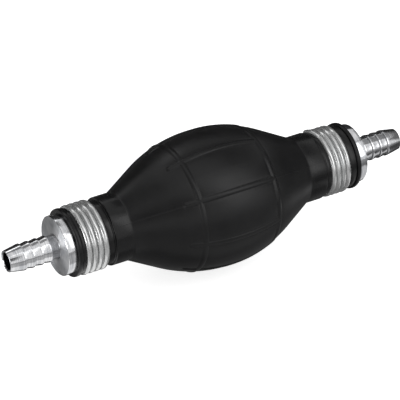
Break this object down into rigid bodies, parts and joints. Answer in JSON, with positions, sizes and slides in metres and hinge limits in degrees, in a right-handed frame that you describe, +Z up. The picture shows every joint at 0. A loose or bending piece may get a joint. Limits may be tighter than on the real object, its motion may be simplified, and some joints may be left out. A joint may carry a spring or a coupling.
{
  "type": "siphon bulb pump",
  "caption": "Hand-squeezed siphon bulb pump: ribbed rubber bulb between two barbed aluminium hose tails, with a spring-loaded one-way valve in each neck.",
  "frame": {"origin": "centre of the bulb on its axis, midway between the two hose tips", "axes": "+X along the axis in the direction of flow, from inlet to outlet; +Z up, +Y to the left of the flow"},
  "size_m": [0.158, 0.0502, 0.0501],
  "materials": {
    "bulb_rubber": "moulded black rubber, satin",
    "seal_rubber": "smooth black rubber",
    "fitting_aluminium": "turned, bright",
    "clamp_wire": "bright galvanised wire",
    "valve_brass": "turned brass",
    "spring_steel": "stainless spring steel"
  },
  "bodies": {
    "root": {"bulb": "bulb_rubber", "inlet_fitting": "fitting_aluminium", "outlet_fitting": "fitting_aluminium", "inlet_gasket": "seal_rubber", "outlet_gasket": "seal_rubber", "inlet_wire_clamp": "clamp_wire", "outlet_wire_clamp": "clamp_wire", "inlet_valve_seat": "valve_brass", "outlet_valve_seat": "valve_brass", "inlet_seat_seal": "seal_rubber", "outlet_seat_seal": "seal_rubber", "inlet_valve_spring": "spring_steel", "outlet_valve_spring": "spring_steel", "inlet_valve_guide": "valve_brass", "outlet_valve_guide": "valve_brass", "inlet_snap_ring": "spring_steel", "outlet_snap_ring": "spring_steel"},
    "inlet_valve": {"inlet_poppet": "valve_brass", "inlet_poppet_seal": "seal_rubber"},
    "outlet_valve": {"outlet_poppet": "valve_brass", "outlet_poppet_seal": "seal_rubber"}
  },
  "joints": [
    {"name": "inlet_valve_lift", "type": "slide", "parent": "root", "child": "inlet_valve", "axis": [1, 0, 0], "range_m": [0, 0.0016], "stiffness_N_per_m": 60, "springref_m": -0.002, "deforming": ["inlet_valve_spring"]},
    {"name": "outlet_valve_lift", "type": "slide", "parent": "root", "child": "outlet_valve", "axis": [1, 0, 0], "range_m": [0, 0.0016], "stiffness_N_per_m": 60, "springref_m": -0.002, "deforming": ["outlet_valve_spring", "bulb"]}
  ]
}
